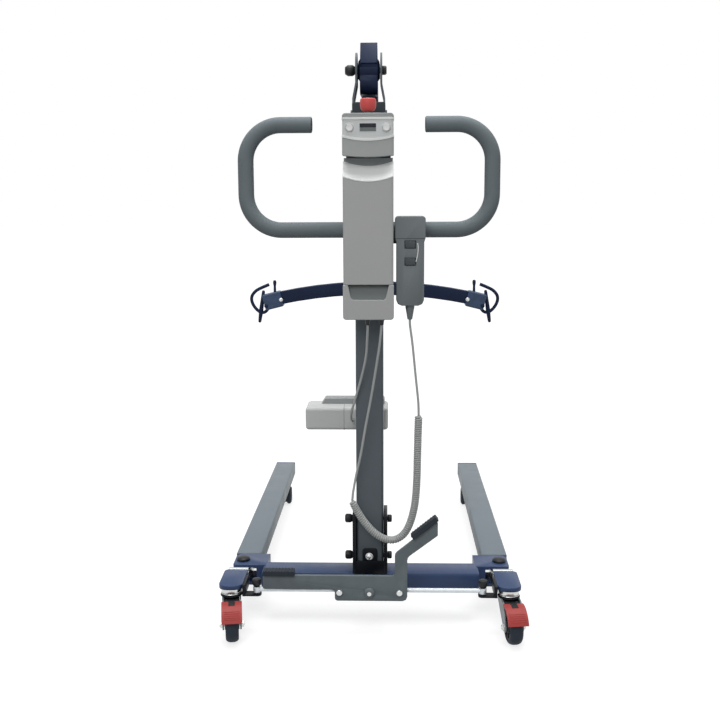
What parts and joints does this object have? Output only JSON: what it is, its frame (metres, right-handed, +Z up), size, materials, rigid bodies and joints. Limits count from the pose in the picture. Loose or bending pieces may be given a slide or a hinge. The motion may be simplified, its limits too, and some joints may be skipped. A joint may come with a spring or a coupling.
{
  "type": "patient lift",
  "caption": "Mobile patient lift: wheeled base with spreading legs, mast, powered boom with spreader bar and sling hooks, push handle, control box and hand pendant.",
  "frame": {"origin": "on the floor, under the middle of the lift's width and length", "axes": "+Z up the mast; +Y forward, from the push handle to the ends of the legs; +X to the right of the attendant who pushes it"},
  "size_m": [0.6934, 1.1085, 1.2669],
  "materials": {
    "blue_powder_coat": "satin powder coat",
    "grey_powder_coat": "fine textured powder coat",
    "dark_powder_coat": "fine textured powder coat",
    "black_paint": "satin paint",
    "zinc_plated_steel": "bright zinc",
    "chromed_steel": "polished",
    "light_grey_plastic": "fine moulded grain",
    "dark_grey_plastic": "fine moulded grain",
    "black_plastic": "fine moulded grain",
    "red_plastic": "satin",
    "black_rubber": "ribbed",
    "tyre_rubber": "smooth tread",
    "cord_sheath": "smooth sheath"
  },
  "bodies": {
    "base": {"base_frame": "blue_powder_coat", "leg_pivot_bolt_left": "black_paint", "leg_pivot_bolt_right": "black_paint", "mast_socket": "black_paint", "mast_clamp_knob_lower": "black_plastic", "mast_clamp_knob_upper": "black_plastic", "mast_tube": "dark_powder_coat", "mast_head_fork": "grey_powder_coat", "boom_pivot_bolt": "black_plastic", "rocker_pivot_bolt": "zinc_plated_steel", "push_handle": "grey_powder_coat", "handle_saddle": "black_paint", "control_backplate": "black_paint", "control_unit": "light_grey_plastic", "power_unit": "light_grey_plastic", "pendant_body": "dark_grey_plastic", "pendant_cord_upper": "cord_sheath", "pendant_cord_coil": "cord_sheath", "pendant_cord_lower": "cord_sheath", "actuator_lead": "cord_sheath"},
    "rocker": {"pedal_rocker": "grey_powder_coat", "pedal_pad_left": "black_rubber", "pedal_pad_right": "black_rubber"},
    "boom": {"boom_tube": "blue_powder_coat", "boom_rear_cap": "blue_powder_coat", "boom_knuckle": "blue_powder_coat"},
    "hanger": {"boom_hanger": "blue_powder_coat"},
    "spreader": {"spreader_bar": "blue_powder_coat", "sling_hook_left": "blue_powder_coat", "sling_hook_right": "blue_powder_coat"},
    "actuator": {"actuator_housing": "light_grey_plastic"},
    "actuator_ram": {"actuator_rod": "chromed_steel"},
    "stop_button": {"emergency_stop": "red_plastic"},
    "panel_button_left": {"control_button_left": "dark_grey_plastic"},
    "panel_button_right": {"control_button_right": "dark_grey_plastic"},
    "hand_button_down": {"pendant_button_down": "light_grey_plastic"},
    "hand_button_up": {"pendant_button_up": "light_grey_plastic"},
    "battery": {"battery_pack": "light_grey_plastic"},
    "leg_left": {"leg_tube_left": "grey_powder_coat", "leg_end_cap_left": "blue_powder_coat", "leg_hinge_tongue_left": "zinc_plated_steel", "leg_heel_left": "blue_powder_coat", "spread_lever_left": "black_paint"},
    "link_rod_left": {"tie_rod_left": "zinc_plated_steel"},
    "rear_fork_left": {"rear_caster_fork_left": "zinc_plated_steel"},
    "rear_wheel_left": {"rear_caster_wheel_left": "tyre_rubber"},
    "brake_pedal_left": {"rear_brake_pedal_left": "red_plastic"},
    "front_caster_left": {"front_caster_body_left": "black_plastic"},
    "front_wheels_left": {"front_caster_wheels_left": "tyre_rubber"},
    "leg_right": {"leg_tube_right": "grey_powder_coat", "leg_end_cap_right": "blue_powder_coat", "leg_hinge_tongue_right": "zinc_plated_steel", "leg_heel_right": "blue_powder_coat", "spread_lever_right": "black_paint"},
    "link_rod_right": {"tie_rod_right": "zinc_plated_steel"},
    "rear_fork_right": {"rear_caster_fork_right": "zinc_plated_steel"},
    "rear_wheel_right": {"rear_caster_wheel_right": "tyre_rubber"},
    "brake_pedal_right": {"rear_brake_pedal_right": "red_plastic"},
    "front_caster_right": {"front_caster_body_right": "black_plastic"},
    "front_wheels_right": {"front_caster_wheels_right": "tyre_rubber"}
  },
  "joints": [
    {"name": "leg_left_spread", "type": "hinge", "parent": "base", "child": "leg_left", "pos_m": [-0.2965, -0.32375, 0.092], "axis": [0, 0, 1], "range_deg": [0, 10.34]},
    {"name": "leg_right_spread", "type": "hinge", "parent": "base", "child": "leg_right", "pos_m": [0.2965, -0.32375, 0.092], "axis": [0, 0, -1], "range_deg": [0, 10.35]},
    {"name": "pedal_rock", "type": "hinge", "parent": "base", "child": "rocker", "pos_m": [0, -0.47775, 0.1025], "axis": [0, 1, 0], "range_deg": [0, 45.02]},
    {"name": "link_rod_left_swing", "type": "hinge", "parent": "leg_left", "child": "link_rod_left", "pos_m": [-0.246, -0.46825, 0.103], "axis": [0.0013, -0.769, -0.6392], "range_deg": [0, 21.33]},
    {"name": "link_rod_right_swing", "type": "hinge", "parent": "leg_right", "child": "link_rod_right", "pos_m": [0.246, -0.46825, 0.103], "axis": [-0.0006, -0.7704, 0.6376], "range_deg": [0, 21.4]},
    {"name": "rear_caster_swivel_left", "type": "hinge", "parent": "leg_left", "child": "rear_fork_left", "pos_m": [-0.303, -0.46175, 0.092], "axis": [0, 0, 1], "continuous": true},
    {"name": "rear_wheel_roll_left", "type": "hinge", "parent": "rear_fork_left", "child": "rear_wheel_left", "pos_m": [-0.29612, -0.50521, 0.0375], "axis": [0.9877, 0.1564, 0], "continuous": true},
    {"name": "brake_pedal_press_left", "type": "hinge", "parent": "rear_fork_left", "child": "brake_pedal_left", "pos_m": [-0.29987, -0.4815, 0.08], "axis": [0.9877, 0.1564, 0], "range_deg": [0, 5.5], "stiffness_Nm_per_rad": 3, "springref_deg": -1.15},
    {"name": "front_caster_swivel_left", "type": "hinge", "parent": "leg_left", "child": "front_caster_left", "pos_m": [-0.285, 0.50525, 0.085], "axis": [0, 0, 1], "continuous": true},
    {"name": "front_wheels_roll_left", "type": "hinge", "parent": "front_caster_left", "child": "front_wheels_left", "pos_m": [-0.285, 0.48725, 0.025], "axis": [1, 0, 0], "continuous": true},
    {"name": "rear_caster_swivel_right", "type": "hinge", "parent": "leg_right", "child": "rear_fork_right", "pos_m": [0.303, -0.46175, 0.092], "axis": [0, 0, 1], "continuous": true},
    {"name": "rear_wheel_roll_right", "type": "hinge", "parent": "rear_fork_right", "child": "rear_wheel_right", "pos_m": [0.30874, -0.50537, 0.0375], "axis": [0.9914, 0.1305, 0], "continuous": true},
    {"name": "brake_pedal_press_right", "type": "hinge", "parent": "rear_fork_right", "child": "brake_pedal_right", "pos_m": [0.30561, -0.48158, 0.08], "axis": [0.9914, 0.1305, 0], "range_deg": [0, 5.5], "stiffness_Nm_per_rad": 3, "springref_deg": -1.15},
    {"name": "front_caster_swivel_right", "type": "hinge", "parent": "leg_right", "child": "front_caster_right", "pos_m": [0.285, 0.50525, 0.085], "axis": [0, 0, 1], "continuous": true},
    {"name": "front_wheels_roll_right", "type": "hinge", "parent": "front_caster_right", "child": "front_wheels_right", "pos_m": [0.285, 0.48725, 0.025], "axis": [1, 0, 0], "continuous": true},
    {"name": "boom_lift", "type": "hinge", "parent": "base", "child": "boom", "pos_m": [0, -0.36675, 1.21], "axis": [1, 0, 0], "range_deg": [0, 62]},
    {"name": "hanger_level", "type": "hinge", "parent": "boom", "child": "hanger", "pos_m": [0, 0.23325, 0.83037], "axis": [-1, 0, 0], "range_deg": [0, 62.02]},
    {"name": "spreader_swivel", "type": "hinge", "parent": "hanger", "child": "spreader", "pos_m": [0, 0.23325, 0.702], "axis": [0, 0, 1], "continuous": true},
    {"name": "actuator_tilt", "type": "hinge", "parent": "base", "child": "actuator", "pos_m": [0, -0.27475, 0.4], "axis": [-1, 0, 0], "range_deg": [0, 3.53]},
    {"name": "actuator_extend", "type": "slide", "parent": "actuator", "child": "actuator_ram", "axis": [0, 0.023, 0.9997], "range_m": [0, 0.1517]},
    {"name": "emergency_stop_press", "type": "slide", "parent": "base", "child": "stop_button", "axis": [0, 0, -1], "range_m": [0, 0.004], "stiffness_N_per_m": 800, "springref_m": -0.001},
    {"name": "panel_button_press_left", "type": "slide", "parent": "base", "child": "panel_button_left", "axis": [0, 1, 0], "range_m": [0, 0.0015], "stiffness_N_per_m": 500, "springref_m": -0.0002},
    {"name": "panel_button_press_right", "type": "slide", "parent": "base", "child": "panel_button_right", "axis": [0, 1, 0], "range_m": [0, 0.0015], "stiffness_N_per_m": 500, "springref_m": -0.0002},
    {"name": "hand_button_press_down", "type": "slide", "parent": "base", "child": "hand_button_down", "axis": [0, 1, 0], "range_m": [0, 0.0015], "stiffness_N_per_m": 500, "springref_m": -0.0002},
    {"name": "hand_button_press_up", "type": "slide", "parent": "base", "child": "hand_button_up", "axis": [0, 1, 0], "range_m": [0, 0.0015], "stiffness_N_per_m": 500, "springref_m": -0.0002},
    {"name": "battery_removal", "type": "slide", "parent": "base", "child": "battery", "axis": [0, -1, 0], "range_m": [0, 0.08]}
  ],
  "couplings": [
    {"joint": "leg_right_spread", "follows": "leg_left_spread", "ratio": 1},
    {"joint": "pedal_rock", "follows": "leg_left_spread", "ratio": 4.352},
    {"joint": "link_rod_left_swing", "follows": "leg_left_spread", "ratio": 2.0612},
    {"joint": "link_rod_right_swing", "follows": "leg_left_spread", "ratio": 2.0676},
    {"joint": "hanger_level", "follows": "boom_lift", "ratio": 1},
    {"joint": "actuator_tilt", "follows": "boom_lift", "ratio": 0.0567},
    {"joint": "actuator_extend", "follows": "boom_lift", "m_per_rad": 0.13997}
  ]
}
